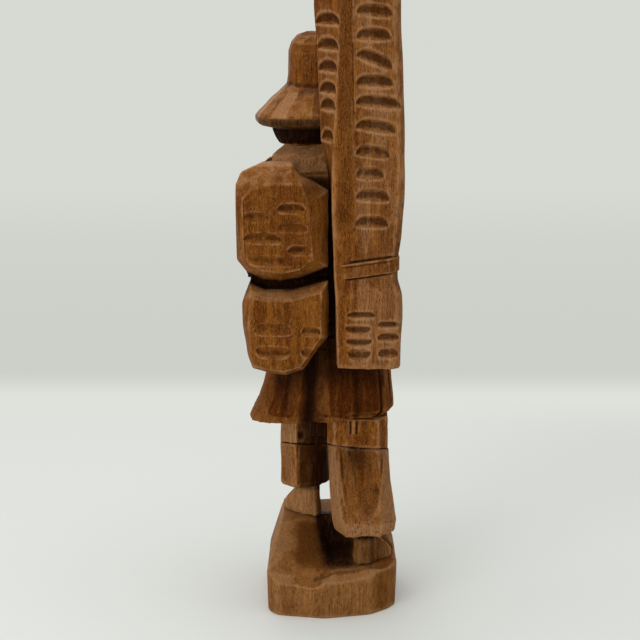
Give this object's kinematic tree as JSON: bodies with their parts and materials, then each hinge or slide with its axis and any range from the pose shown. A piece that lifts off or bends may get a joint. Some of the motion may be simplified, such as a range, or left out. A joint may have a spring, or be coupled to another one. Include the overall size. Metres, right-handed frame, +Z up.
{
  "type": "carved traveler figure",
  "caption": "Carved wooden walking figure in a brimmed hat and pleated tunic, with packs and a tall load on its back, standing on a rock base; a free-standing ornament.",
  "frame": {"origin": "middle of the base's flat underside", "axes": "+Z up, -Y the way the figure walks and faces, +X to the figure's own left"},
  "size_m": [0.0824, 0.083, 0.319],
  "materials": {
    "oiled_wood": "oiled satin, knife cut",
    "worn_wood": "oiled satin, worn pale",
    "stained_wood": "dark stain, satin",
    "dowel_wood": "bare, planed"
  },
  "bodies": {
    "root": {"base": "worn_wood", "left_foot": "worn_wood", "right_foot": "worn_wood", "left_trouser_leg": "oiled_wood", "right_trouser_leg": "oiled_wood", "hips": "oiled_wood", "tunic_skirt": "stained_wood", "torso": "oiled_wood", "left_arm": "oiled_wood", "right_arm": "oiled_wood", "left_hand": "worn_wood", "right_hand": "worn_wood", "head": "stained_wood", "hat": "oiled_wood", "upper_pack": "oiled_wood", "lower_pack": "oiled_wood", "tall_load": "oiled_wood", "load_strap": "oiled_wood", "left_shoulder_strap": "stained_wood", "right_shoulder_strap": "stained_wood", "leg_dowels": "dowel_wood", "thigh_dowels": "dowel_wood", "waist_dowel": "dowel_wood", "neck_dowel": "dowel_wood", "hat_peg": "dowel_wood", "shoulder_dowels": "dowel_wood", "wrist_dowels": "dowel_wood", "pack_dowels": "dowel_wood", "load_dowels": "dowel_wood"}
  },
  "joints": []
}
